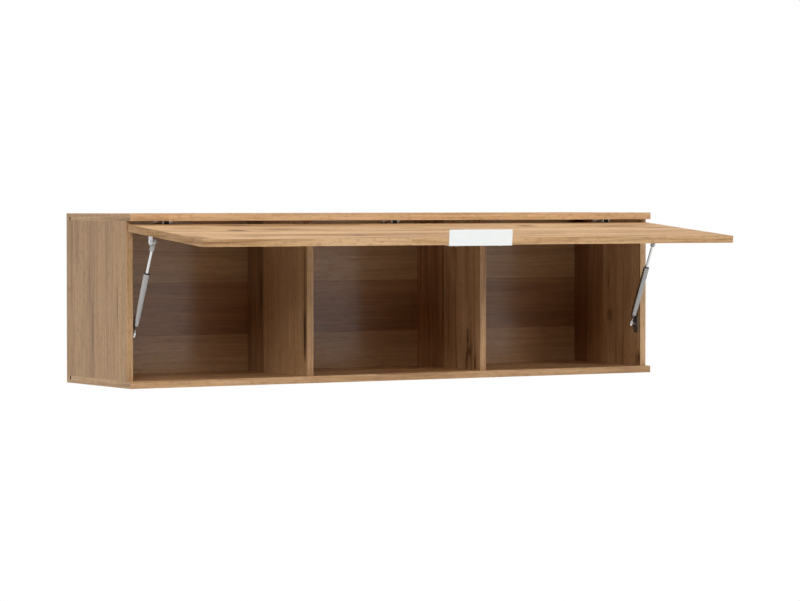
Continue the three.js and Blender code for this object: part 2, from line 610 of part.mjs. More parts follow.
/** Round cup sunk in the flap's inner face, with its flange and two screwed wings. */
function hingeCup() {
  const mouthY = SEAT_GAP + CUP_FLANGE;
  const bottomY = mouthY - CUP_FLANGE - CUP_DEPTH;
  const inner = CUP_RADIUS - CUP_WALL;
  const rim = CUP_RADIUS + CUP_FLANGE_RIM;
  const profile = [
    [0, bottomY], [CUP_RADIUS, bottomY], [CUP_RADIUS, SEAT_GAP], [rim, SEAT_GAP], [rim, mouthY],
    [inner, mouthY], [inner, bottomY + CUP_WALL], [0, bottomY + CUP_WALL],
  ];
  const cup = turned(profile, SIDES_LARGE).rotateX(-Math.PI / 2);
  const wingZ = -CUP_WING_OFFSET;
  const wings = [-1, 1].map((side) => {
    const xs = [side * (inner + CUP_WALL / 2), (side * CUP_WING_SPAN) / 2];
    return block(Math.min(...xs), Math.max(...xs), SEAT_GAP, mouthY,
      wingZ - CUP_WING_WIDTH / 2, wingZ + CUP_WING_WIDTH / 2);
  });
  const heads = [-1, 1].map((side) =>
    bar('y', HEAD_RADIUS, mouthY - CUP_FLANGE / 2, mouthY + HEAD_HEIGHT, SIDES_SMALL)
      .translate((side * CUP_SCREW_SPACING) / 2, 0, wingZ));
  return joined(cup, ...wings, ...heads).translate(0, FLAP_BOARD, cupMiddleZ);
}

// ---- Gas struts ---------------------------------------------------------------------------

/** An upright oval in y and z, `shrink` inside the side bracket's outline. */
function bracketOval(shrink) {
  const bulge = SIDE_PLATE_WIDTH / 2 - shrink;
  const straight = (SIDE_PLATE_HEIGHT - SIDE_PLATE_WIDTH) / 2;
  return [
    ...arc(-SIDE_PLATE_FORWARD, straight, bulge, 0, 180),
    ...arc(-SIDE_PLATE_FORWARD, -straight, bulge, 180, 360),
  ];
}

/** Oval dish on the side panel, with a boss that carries the strut's base ball. */
function strutBracket(side) {
  const dish = slabAcross(bracketOval(0), SIDE_PLATE_RIM, SIDE_PLATE_RIM / 2);
  const pocket = slabAcross(bracketOval(SIDE_PLATE_RIM_WALL), SIDE_PLATE_RIM,
    BRACKET_SHEET + SIDE_PLATE_RIM / 2);
  const plate = cutBy(dish, pocket);
  const boss = bar('x', STUD_RADIUS + BRACKET_SHEET, BRACKET_SHEET / 2, 2 * BRACKET_SHEET, SIDES_MEDIUM);
  const heads = [-1, 1].map((up) =>
    bar('x', HEAD_RADIUS, BRACKET_SHEET / 2, BRACKET_SHEET + HEAD_HEIGHT, SIDES_SMALL)
      .translate(0, -SIDE_PLATE_FORWARD, up * (SIDE_PLATE_HEIGHT / 2 - BRACKET_SCREW_INSET)));
  const bracket = mirrored(joined(plate, boss, ...heads), side);
  return bracket.translate(side * sideInnerX, baseBall.y, baseBall.z);
}

/** L-shaped bracket: a foot on the flap's inner face and a round-ended ear for the ball stud. */
function flapBracket(side) {
  const footY = SEAT_GAP;
  const earX = EAR_FROM_SIDE + BRACKET_SHEET;
  const ear = [
    [footY, -EAR_WIDTH / 2],
    ...arc(STUD_ABOVE_FLAP, 0, EAR_WIDTH / 2, -90, 90),
    [footY, EAR_WIDTH / 2],
  ];
  const foot = block(EAR_FROM_SIDE, EAR_FROM_SIDE + FOOT_WIDTH, footY, footY + BRACKET_SHEET,
    -FOOT_LENGTH / 2, FOOT_LENGTH / 2);
  const headX = EAR_FROM_SIDE + FOOT_WIDTH / 2;
  const heads = [-1, 1].map((up) =>
    bar('y', HEAD_RADIUS, footY + BRACKET_SHEET / 2, footY + BRACKET_SHEET + HEAD_HEIGHT, SIDES_SMALL)
      .translate(headX, 0, up * (FOOT_LENGTH / 2 - BRACKET_SCREW_INSET)));
  const plate = joined(slabAcross(ear, BRACKET_SHEET, earX - BRACKET_SHEET / 2), foot, ...heads);
  const hole = bar('x', STUD_RADIUS + SEAT_GAP, 0, earX + BRACKET_SHEET, SIDES_SMALL)
    .translate(0, STUD_ABOVE_FLAP, 0);
  const bracket = cutBy(plate, hole);
  return mirrored(bracket, side).translate(side * sideInnerX, FLAP_BOARD, studClosed.z);
}

/** Inboard is +X as drawn for the left end, and the right end is its mirror image. */
function mirrored(geometry, side) {
  if (side < 0) return geometry;
  const flipped = geometry.clone().scale(-1, 1, 1);
  const corners = flipped.index.array;
  for (let first = 0; first < corners.length; first += 3) {
    [corners[first], corners[first + 1]] = [corners[first + 1], corners[first]];
  }
  flipped.computeVertexNormals();
  return flipped;
}

/** Ball stud riveted in the flap bracket's ear, its ball in the strut's plane. */
function flapStud(side) {
  const earOuter = EAR_FROM_SIDE;
  const earInner = EAR_FROM_SIDE + BRACKET_SHEET;
  const flange = BRACKET_SHEET / 2;
  const rivetTo = earOuter - SEAT_GAP;
  const rivet = bar('x', STUD_RADIUS + flange, rivetTo - flange, rivetTo, SIDES_SMALL);
  const collarFrom = earInner + SEAT_GAP;
  const collar = bar('x', STUD_RADIUS + flange, collarFrom, collarFrom + flange, SIDES_SMALL);
  const shank = bar('x', STUD_RADIUS, rivetTo - flange / 2, STRUT_INSET, SIDES_SMALL);
  const ball = new THREE.SphereGeometry(BALL_RADIUS, SIDES_MEDIUM, SIDES_SMALL).translate(STRUT_INSET, 0, 0);
  const stud = joined(ball, shank, collar, rivet);
  return mirrored(stud, side).translate(side * sideInnerX, FLAP_BOARD + STUD_ABOVE_FLAP, studClosed.z);
}

/** Socket on the rod's end, snapped over the flap's ball; the strut hangs down from the ball. */
function rodSocket() {
  const mouthX = -SOCKET_WIDTH / 2;
  const head = bar('x', SOCKET_RADIUS, mouthX, SOCKET_WIDTH / 2, SIDES_MEDIUM);
  const chamfer = SOCKET_SLEEVE_RADIUS - ROD_RADIUS - 2 * ROD_CLEARANCE;
  const waist = SOCKET_WIDTH / 2;
  const sleeve = turned([
    [0, -SOCKET_SLEEVE_END], [SOCKET_SLEEVE_RADIUS - chamfer / 2, -SOCKET_SLEEVE_END],
    [SOCKET_SLEEVE_RADIUS, -SOCKET_SLEEVE_END + chamfer], [SOCKET_SLEEVE_RADIUS, -SOCKET_SLEEVE_TOP],
    [waist, -SOCKET_SLEEVE_TOP], [waist, 0], [0, 0],
  ], SIDES_MEDIUM);
  const hollow = BALL_RADIUS + SEAT_GAP;
  const cavity = new THREE.SphereGeometry(hollow, SIDES_MEDIUM, SIDES_SMALL);
  const throat = bar('x', hollow, mouthX - hollow, 0, SIDES_MEDIUM);
  const rodHole = bar('z', ROD_RADIUS + ROD_CLEARANCE, -SOCKET_SLEEVE_END - hollow, rodTopZ + ROD_CLEARANCE,
    SIDES_MEDIUM);
  return cutBy(joined(head, sleeve), cavity, throat, rodHole);
}

/** Wire clip round the socket's head, with a tail to pull it off by. */
function socketClip() {
  const inner = SOCKET_RADIUS + SEAT_GAP;
  const outer = inner + CLIP_WIRE;
  const half = CLIP_WIRE / 2;
  const band = turned([[inner, -half], [outer, -half], [outer, half], [inner, half], [inner, -half]],
    SIDES_MEDIUM).rotateY(Math.PI / 2);
  const gap = block(-CLIP_WIRE, CLIP_WIRE, -2 * outer, outer, -2 * outer, -inner / 2);
  const tail = block(-half, half, -outer - CLIP_TAIL, -inner - half, -half, half);
  tail.rotateX(-THREE.MathUtils.degToRad(CLIP_TAIL_TURN));
  return joined(cutBy(band, gap), tail).translate(-SOCKET_WIDTH / 4, 0, 0);
}

/** Polished rod with its piston, drawn from the flap's ball down. */
function strutRod() {
  const pistonTop = -strutLength + TUBE_MOUTH - PISTON_BELOW_MOUTH;
  const pistonRadius = TUBE_RADIUS - TUBE_WALL - ROD_CLEARANCE;
  return turned([
    [0, pistonTop - PISTON_LENGTH], [pistonRadius, pistonTop - PISTON_LENGTH],
    [pistonRadius, pistonTop], [ROD_RADIUS, pistonTop], [ROD_RADIUS, rodTopZ], [0, rodTopZ],
  ], SIDES_MEDIUM);
}

/** The tube, its foot drawn in to a neck, with the collared fitting that holds the base ball. */
function strutTube() {
  const bore = TUBE_RADIUS - TUBE_WALL;
  const coneTop = TUBE_END + TUBE_CONE;
  const eyeTop = EYE_RADIUS + TUBE_WALL;
  const collarTop = eyeTop + EYE_COLLAR_HEIGHT;
  const tube = turned([
    [0, -EYE_FOOT], [EYE_RADIUS - TUBE_WALL, -EYE_FOOT], [EYE_RADIUS, -EYE_FOOT + TUBE_WALL],
    [EYE_RADIUS, EYE_RADIUS - TUBE_WALL], [EYE_RADIUS - TUBE_WALL, eyeTop],
    [EYE_COLLAR_RADIUS, eyeTop], [EYE_COLLAR_RADIUS, collarTop], [NECK_RADIUS, collarTop + TUBE_WALL / 2],
    [NECK_RADIUS, TUBE_END], [TUBE_RADIUS, coneTop], [TUBE_RADIUS, TUBE_MOUTH], [bore, TUBE_MOUTH],
    [bore, coneTop + TUBE_WALL], [0, coneTop + TUBE_WALL],
  ], SIDES_MEDIUM);
  const hollow = BALL_RADIUS + SEAT_GAP;
  const cavity = new THREE.SphereGeometry(hollow, SIDES_MEDIUM, SIDES_SMALL);
  const throat = bar('x', hollow, -2 * EYE_RADIUS, 0, SIDES_MEDIUM);
  return cutBy(tube, cavity, throat);
}

/** Black guide and seal in the tube's mouth. */
function strutSeal() {
  const bore = ROD_RADIUS + ROD_CLEARANCE;
  const plug = TUBE_RADIUS - TUBE_WALL - ROD_CLEARANCE;
  return turned([
    [bore, TUBE_MOUTH - SEAL_DEPTH], [plug, TUBE_MOUTH - SEAL_DEPTH], [plug, TUBE_MOUTH],
    [SEAL_LIP_RADIUS, TUBE_MOUTH + SEAL_LIP], [bore, TUBE_MOUTH + SEAL_LIP], [bore, TUBE_MOUTH - SEAL_DEPTH],
  ], SIDES_MEDIUM);
}

/** Base ball and its stud. It moves with the tube, so its end stays clear of the bracket's boss. */
function baseStud() {
  const bossFace = -STRUT_INSET + 2 * BRACKET_SHEET;
  const ball = new THREE.SphereGeometry(BALL_RADIUS, SIDES_MEDIUM, SIDES_SMALL);
  const shank = bar('x', STUD_RADIUS, bossFace + SEAT_GAP, 0, SIDES_SMALL);
  const collar = bar('x', STUD_RADIUS + BRACKET_SHEET / 2, bossFace + SEAT_GAP,
    bossFace + SEAT_GAP + BRACKET_SHEET / 2, SIDES_SMALL);
  return joined(ball, shank, collar);
}

/** All pieces of one strut, hung from the flap's ball and tilted to its base ball. */
function addStrut(end, side) {
  const strut = new THREE.Group();
  strut.position.set(side * ballX, studOpen.y, studOpen.z);
  strut.rotation.x = strutTilt;
  cabinet.add(strut);
  const fromBase = (geometry) => geometry.translate(0, 0, -strutLength);
  place(strut, `rod_socket_${end}`, mirrored(rodSocket(), side), greyPlastic);
  place(strut, `socket_clip_${end}`, mirrored(socketClip(), side), chrome);
  place(strut, `strut_rod_${end}`, strutRod(), chrome);
  place(strut, `strut_tube_${end}`, fromBase(mirrored(strutTube(), side)), tubeSteel);
  place(strut, `strut_seal_${end}`, fromBase(strutSeal()), blackPlastic);
  place(strut, `base_stud_${end}`, fromBase(mirrored(baseStud(), side)), chrome);
}

// ---- The cabinet, piece by piece ----------------------------------------------------------

onCabinet('top_panel', topPanel(), oak);
onCabinet('bottom_panel', bottomPanel(), oak);
for (const [end, side] of ENDS) onCabinet(`${end}_side_panel`, sidePanel(side), oak);
dividerXs.forEach((x, index) => onCabinet(`divider_${index + 1}`, divider(x), oak));
onCabinet('back_panel', backPanel(), fibreboard);
for (const dowel of dowels) {
  onCabinet(dowel.name, dowelBar(dowel, DOWEL_RADIUS, dowelInPanel, DOWEL_IN_END), beech);
}
for (const [end, side] of ENDS) {
  onCabinet(`hanger_housing_${end}`, hangerHousing(side), whitePlastic);
  onCabinet(`hanger_hook_${end}`, hangerHook(side), zinc);
}

onFlap('flap_door', flapDoor(), oak);
onFlap('edge_handle', edgeHandle(), whiteMetal);
handleScrewXs.forEach((x, index) => onFlap(`handle_screw_${index + 1}`, handleScrew(x), zinc));

hingeXs.forEach((x, index) => {
  const number = index + 1;
  onCabinet(`hinge_plate_${number}`, hingePlate().translate(x, 0, 0), nickel);
  onCabinet(`hinge_arm_${number}`, hingeArm().translate(x, 0, 0), nickel);
  onCabinet(`hinge_damper_${number}`, hingeDamper().translate(x, 0, 0), blackPlastic);
  onCabinet(`hinge_pin_${number}`, hingePin().translate(x, 0, 0), darkSteel);
  onCabinet(`hinge_link_${number}`, hingeLink().translate(x, 0, 0), darkSteel);
  onFlap(`hinge_cup_${number}`, hingeCup().translate(x, 0, 0), nickel);
});

for (const [end, side] of ENDS) {
  onCabinet(`strut_bracket_${end}`, strutBracket(side), zinc);
  onFlap(`flap_bracket_${end}`, flapBracket(side), zinc);
  onFlap(`flap_stud_${end}`, flapStud(side), chrome);
  addStrut(end, side);
}

export default cabinet;
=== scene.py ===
"""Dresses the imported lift-up wall cabinet in its materials and shows it as in the photograph."""

import math

import bpy
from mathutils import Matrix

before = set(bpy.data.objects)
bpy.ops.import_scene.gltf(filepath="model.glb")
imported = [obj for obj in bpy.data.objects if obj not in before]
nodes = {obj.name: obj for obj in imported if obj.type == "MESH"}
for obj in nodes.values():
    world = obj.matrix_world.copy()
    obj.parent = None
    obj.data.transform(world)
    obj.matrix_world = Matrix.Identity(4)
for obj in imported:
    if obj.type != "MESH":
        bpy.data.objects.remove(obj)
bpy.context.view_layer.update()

# ---- Palette: linear colours -----------------------------------------------------------------

OAK_LIGHT = (0.700, 0.452, 0.245)
OAK_MID = (0.540, 0.320, 0.156)
OAK_DARK = (0.300, 0.160, 0.072)
# also the colour of painted shadow round cracks and of the deepest painted shade in the bays
KNOT_AND_SHADE = (0.190, 0.090, 0.036)
# also the colour of the shade painted in the back panel's grooves
CRACK_AND_SHADE = (0.045, 0.020, 0.009)
REDDEN = (0.92, 0.74, 0.60)
BEECH = (0.578, 0.352, 0.144)
WHITE_PAINT = (0.940, 0.960, 0.945)
NICKEL = (0.560, 0.540, 0.510)
ZINC = (0.600, 0.620, 0.640)
TUBE_GREY = (0.420, 0.415, 0.405)
CHROME = (0.800, 0.800, 0.800)
BRACKET_STEEL = (0.330, 0.330, 0.320)
DARK_STEEL = (0.040, 0.040, 0.043)
BLACK = (0.014, 0.014, 0.015)
SOCKET_GREY = (0.520, 0.540, 0.520)
HOUSING_WHITE = (0.740, 0.730, 0.700)
FLOOR_WHITE = (0.93, 0.93, 0.93)
CARD_BLACK = (0.02, 0.02, 0.02)


# ---- Node graphs -----------------------------------------------------------------------------


class Graph:
    """A material's node tree, with short ways to add to it."""

    def __init__(self, name):
        self.material = bpy.data.materials.new(name)
        self.material.use_nodes = True
        self.tree = self.material.node_tree
        self.tree.nodes.clear()

    def add(self, kind, inputs=None, **settings):
        node = self.tree.nodes.new(kind)
        for key, value in settings.items():
            setattr(node, key, value)
        for key, value in (inputs or {}).items():
            self.feed(node.inputs[key], value)
        return node

    def feed(self, socket, value):
        if isinstance(value, bpy.types.NodeSocket):
            self.tree.links.new(value, socket)
        elif isinstance(value, tuple) and socket.type == "RGBA":
            socket.default_value = (*value, 1.0)
        else:
            socket.default_value = value

    def math(self, operation, first, second=0.0, third=0.0):
        node = self.add("ShaderNodeMath", {0: first, 1: second, 2: third}, operation=operation)
        return node.outputs[0]

    def total(self, *values):
        result = values[0]
        for value in values[1:]:
            result = self.math("ADD", result, value)
        return result

    def centred(self, value, amount):
        """value round 0 instead of 0.5, times amount."""
        return self.math("MULTIPLY", self.math("SUBTRACT", value, 0.5), amount)

    def ramp(self, value, low, high, to_low=0.0, to_high=1.0):
        """value from low..high to to_low..to_high, eased and kept inside."""
        inputs = {"Value": value, 1: low, 2: high, 3: to_low, 4: to_high}
        return self.add("ShaderNodeMapRange", inputs, interpolation_type="SMOOTHSTEP").outputs[0]

    def blend(self, factor, first, second, how="MIX"):
        node = self.add("ShaderNodeMix", data_type="RGBA", blend_type=how)
        self.feed(node.inputs[0], factor)
        self.feed(node.inputs[6], first)
        self.feed(node.inputs[7], second)
        return node.outputs[2]

    def ink(self, mask, amount, under, color):
        """color laid over `under` where the mask says, at most by amount."""
        return self.blend(self.math("MULTIPLY", mask, amount), under, color)

    def vector(self, x, y, z=0.0):
        return self.add("ShaderNodeCombineXYZ", {0: x, 1: y, 2: z}).outputs[0]

    def scaled(self, place, scales):
        """A vector of the three parts of a place, each times its own scale."""
        return self.vector(*(self.math("MULTIPLY", part, scale)
                             for part, scale in zip(place, scales)))

    def noise(self, vector, scale=1.0, detail=2.0, roughness=0.5, distortion=0.0):
        inputs = {"Vector": vector, "Scale": scale, "Detail": detail, "Roughness": roughness}
        inputs["Distortion"] = distortion
        return self.add("ShaderNodeTexNoise", inputs).outputs["Fac"]

    def split(self, vector):
        return self.add("ShaderNodeSeparateXYZ", {0: vector}).outputs

    def finish(self, color, roughness, height=None, depth=0.0001, **values):
        """Closes the tree with one surface shader; values are constants of its sockets."""
        surface = {"Base Color": color, "Roughness": roughness}
        shader = self.add("ShaderNodeBsdfPrincipled", surface)
        for key, value in values.items():
            shader.inputs[key.replace("_", " ")].default_value = value
        if height is not None:
            relief = {"Height": height, "Distance": depth, "Strength": 1.0}
            bump = self.add("ShaderNodeBump", relief)
            self.feed(shader.inputs["Normal"], bump.outputs[0])
        output = self.add("ShaderNodeOutputMaterial")
        self.tree.links.new(shader.outputs[0], output.inputs["Surface"])
        return self.material


# ---- Wood: how a foil lies on its board -------------------------------------------------------

SEED_ALONG = 3.7  # each board takes its own piece of the print
SEED_ACROSS = 1.9
BAND_SHIFT = -5.3  # the band on a front edge is cut from another piece
BACK_SHIFT = -9.1  # and so is the foil on an upright board's right face
TURNED = (0.45, 0.55)  # part of a normal over which a face counts as turned that way
SWING_SCALE = 1.6  # swings of the grain to a metre along
SWING_ACROSS = 2.5  # and how many times more across
SWING_REACH = 0.030  # how far the grain swings aside

STAVE_WIDTH = 0.115  # staves of the printed planks on the long boards
STAVE_LENGTH = 0.95
STAVE_SHIFT = 7.0  # staves over which the rows' starts are spread
STAVE_PRINT = 9.0  # how far apart two staves are cut from the print
PLANK_PRINT = 3.3  # and two planks
SEAM_WIDTH = 0.0012

GROOVE_HALVES = (0.0027, 0.0040)  # how far a groove's painted shade reaches in y and z from its middle
GROOVE_FADE = 0.0006

# Streaks of the print: per metre along, per metre across, detail, offset, distortion.
BROAD = (1.3, 15.0, 2.0, 0.0, 0.5)
MIDDLE = (2.8, 62.0, 3.0, 20.0, 0.4)
LINES = (5.0, 210.0, 2.0, 30.0, 0.0)
FINE = (14.0, 640.0, 2.0, 40.0, 0.0)
PORES = (38.0, 1500.0, 1.0, 60.0, 0.0)
DASHES = (62.0, 185.0, 3.0, 75.0, 0.0)
VEINS = (1.5, 52.0, 2.0, 90.0, 0.5)
STREAK_ROUGHNESS = 0.55

KNOT_PULL = (9.0, 4.5)  # reach of a knot's pull on the grain, along and across, in radii
KNOT_PART = -0.75  # share by which the grain gives way there
KNOT_CORE = (2.8, 2.0)  # reach of the knot itself

CRACK_STRAY = 2.0  # widths by which a crack strays with the lines of the grain
CRACK_SWING = 0.006  # and how far it swings with the grain
CRACK_TORN = (0.30, 0.60, 0.45, 1.25)
CRACK_EDGE = (0.25, 0.60)
STAIN_AND_SHADOW_REACH = (1.3, 4.0)  # a crack's halo of brown staining and painted shadow, in its lengths and widths


class Foil:
    """One board's printed foil: how it is laid on the board, and the grain printed on it."""

    def __init__(self, name, upright, seed, banded):
        self.graph = Graph(name)
        self.upright = upright
        self.start_along = SEED_ALONG * seed
        self.start_across = SEED_ACROSS * seed
        self.plank = 0.0
        self.lay(banded)

    def lay(self, banded):
        """Sets along and across, metres on the foil, and the masks of ends, bands and sides."""
        graph = self.graph
        coordinates = graph.add("ShaderNodeTexCoord")
        x, y, z = self.place = graph.split(coordinates.outputs["Object"])
        facing = graph.split(coordinates.outputs["Normal"])
        self.on_end = graph.ramp(graph.math("ABSOLUTE", facing[0]), *TURNED)
        self.on_band = 0.0
        if banded:
            self.on_band = graph.ramp(graph.math("ABSOLUTE", facing[1]), *TURNED)
        self.on_right = graph.ramp(facing[0], *TURNED)
        if self.upright:
            self.along = z
            across = graph.math("MULTIPLY_ADD", self.on_right, BACK_SHIFT, graph.math("ADD", x, y))
        else:
            self.along = self.between(self.on_end, x, y)
            across = self.between(self.on_end, graph.math("ADD", y, z), z)
        self.across = graph.math("MULTIPLY_ADD", self.on_band, BAND_SHIFT, across)
        place = graph.vector(
            graph.math("ADD", self.along, self.start_along),
            graph.math("MULTIPLY_ADD", self.across, SWING_ACROSS, self.start_across))
        self.swing = graph.centred(graph.noise(place, SWING_SCALE), 1.0)
        self.bent = graph.math("MULTIPLY_ADD", self.swing, SWING_REACH, self.across)

    def between(self, factor, first, second):
        graph = self.graph
        return graph.math("MULTIPLY_ADD", factor, graph.math("SUBTRACT", second, first), first)

    def laid_at(self, point):
        """(along, across) of a point of the row frame on the board's face."""
        x, y, z = point
        return (z, x + y) if self.upright else (x, y + z)

    def bell(self, spot, length, width, across=None):
        """1 at the spot and falling to 0 round it, `length` along the grain, `width` over it."""
        graph = self.graph
        across = self.across if across is None else across
        far_along = graph.math("DIVIDE", graph.math("SUBTRACT", self.along, spot[0]), length / 2)
        far_across = graph.math("DIVIDE", graph.math("SUBTRACT", across, spot[1]), width / 2)
        reach = graph.total(graph.math("POWER", graph.math("ABSOLUTE", far_along), 2.0),
                            graph.math("POWER", graph.math("ABSOLUTE", far_across), 2.0))
        return graph.math("EXPONENT", graph.math("MULTIPLY", reach, -1.0))

    def streaks(self, kind):
        per_along, per_across, detail, offset, distortion = kind
        graph = self.graph
        start_along = offset + self.start_along * per_along
        start_across = self.start_across * per_across
        vector = graph.vector(
            graph.math("MULTIPLY_ADD", self.along, per_along, start_along),
            graph.math("MULTIPLY_ADD", self.bent, per_across, start_across),
            self.plank)
        return graph.noise(vector, 1.0, detail, STREAK_ROUGHNESS, distortion)

    def part_round(self, knots):
        """Parts the grain round each knot and returns the knots' cores."""
        graph = self.graph
        cores = []
        for point, radius in knots:
            spot = self.laid_at(point)
            pull = self.bell(spot, *(reach * radius for reach in KNOT_PULL))
            side = graph.math("SUBTRACT", self.across, spot[1])
            moved = graph.math("MULTIPLY", pull, side)
            self.bent = graph.math("MULTIPLY_ADD", moved, KNOT_PART, self.bent)
            cores.append(self.bell(spot, *(reach * radius for reach in KNOT_CORE)))
        return cores

    def lay_planks_and_shade(self, strips, staves, seam_dark):
        """Printed planks beyond the seams and as staves, with darker strips at the back of a bay's
        wall that are painted shade of its back corner: their tone, redness and seam lines.
        """
        graph = self.graph
        count = tone = redness = seam = 0.0
        for point, tone_beyond, red_beyond in strips:
            edge = self.laid_at(point)[1]
            beyond = graph.ramp(self.across, edge - SEAM_WIDTH / 4, edge + SEAM_WIDTH / 4)
            count = graph.math("ADD", count, beyond)
            tone = graph.math("MULTIPLY_ADD", beyond, tone_beyond, tone)
            redness = graph.math("MULTIPLY_ADD", beyond, red_beyond, redness)
            nearness = graph.math("ABSOLUTE", graph.math("SUBTRACT", self.across, edge))
            line = graph.ramp(nearness, 0.0, SEAM_WIDTH, seam_dark, 0.0)
            seam = graph.math("MAXIMUM", seam, line)
        self.plank = graph.math("MULTIPLY", count, PLANK_PRINT)
        if staves:
            stave = self.number_staves()
            self.plank = graph.math("MULTIPLY_ADD", stave, STAVE_PRINT, self.plank)
            tone = graph.math("ADD", tone, graph.centred(stave, staves))
        return tone, redness, seam

    def number_staves(self):
        """A number from 0 to 1 for each stave."""
        graph = self.graph
        row = graph.math("FLOOR", graph.math("DIVIDE", self.across, STAVE_WIDTH))
        shift = graph.add("ShaderNodeTexWhiteNoise", {"W": row}, noise_dimensions="1D").outputs[0]
        lengthwise = graph.math(
            "DIVIDE", graph.math("ADD", self.along, self.start_along), STAVE_LENGTH)
        column = graph.math("FLOOR", graph.math("MULTIPLY_ADD", shift, STAVE_SHIFT, lengthwise))
        numbered = graph.add("ShaderNodeTexWhiteNoise", {"Vector": graph.vector(row, column)},
                             noise_dimensions="2D")
        return numbered.outputs[0]

    def groove(self, mouth):
        """1 on the walls of a groove that runs across the cabinet, at `mouth` (y, z), where shade
        is painted into the groove.
        """
        graph = self.graph
        mask = 1.0
        for value, middle, half in zip(self.place[1:], mouth, GROOVE_HALVES):
            away = graph.math("ABSOLUTE", graph.math("SUBTRACT", value, middle))
            inside = graph.ramp(away, half, half + GROOVE_FADE, 1.0, 0.0)
            mask = graph.math("MULTIPLY", mask, inside)
        return mask

    def crack(self, point, length, width, lines, fine):
        """(line, halo) of a torn crack that wanders a little with the grain; the halo is brown
        staining and painted shadow.
        """
        graph = self.graph
        wander = graph.math("MULTIPLY_ADD", graph.centred(lines, 1.0), CRACK_STRAY * width,
                            graph.math("MULTIPLY_ADD", self.swing, CRACK_SWING, self.across))
        spot = self.laid_at(point)
        line = graph.math("MULTIPLY", self.bell(spot, length, width, wander),
                          graph.ramp(fine, *CRACK_TORN))
        stain_and_shadow = self.bell(spot, STAIN_AND_SHADOW_REACH[0] * length, STAIN_AND_SHADOW_REACH[1] * width, wander)
        return graph.ramp(line, *CRACK_EDGE), stain_and_shadow


# ---- Wood: the foil's colours and relief ------------------------------------------------------

MIDDLE_SHADE = 0.95  # weights of the streaks in the shade
LINES_SHADE = 0.85
FINE_SHADE = 0.70
RINGS_SHADE = 0.028
RINGS_ACROSS = 560.0  # radians of the growth rings to a metre
RINGS_SWAY = 26.0
PLAIN_SHADE = 0.5

DARK_SHADES = (0.10, 0.60)  # shades over which dark oak turns to middle
LIGHT_SHADES = (0.42, 0.95)  # and middle to light
DEEP_SHADES = (-0.50, 0.0, 1.0, 0.0)  # below these it turns knot brown, deepening the painted shade at the back of the bays' walls

# Masks out of streaks and cores, and how much colour they lay on.
PORE_MASK = (0.58, 0.70)
PORE_INK = 0.24
DASH_MASK = (0.50, 0.66)
VEIN_MASK = (0.62, 0.76)
RING_MASK = (0.02, 0.45)
RING_INK = 0.55
HEART_TORN = (0.30, 0.62, 0.4, 1.3)
HEART_MASK = (0.45, 0.85)
# darkness of a crack's halo: brown staining and painted shadow
STAIN_AND_SHADOW_INK = 0.40
CRACK_INK = 0.88

SCUFF_SCALE = 11.0
SCUFF = 0.12  # how much scuffs vary the roughness
GRAIN_MASK = (0.35, 0.65)
GRAIN_DULL = 0.06  # how much rougher than the gloss the grain's dips are
GRAIN_CLEAR = -0.03
OPEN_DULL = 0.2
FINE_RELIEF = 0.35  # heights, as shares of the foil's relief
PORE_RELIEF = 0.5
FOIL_RELIEF = 0.00012


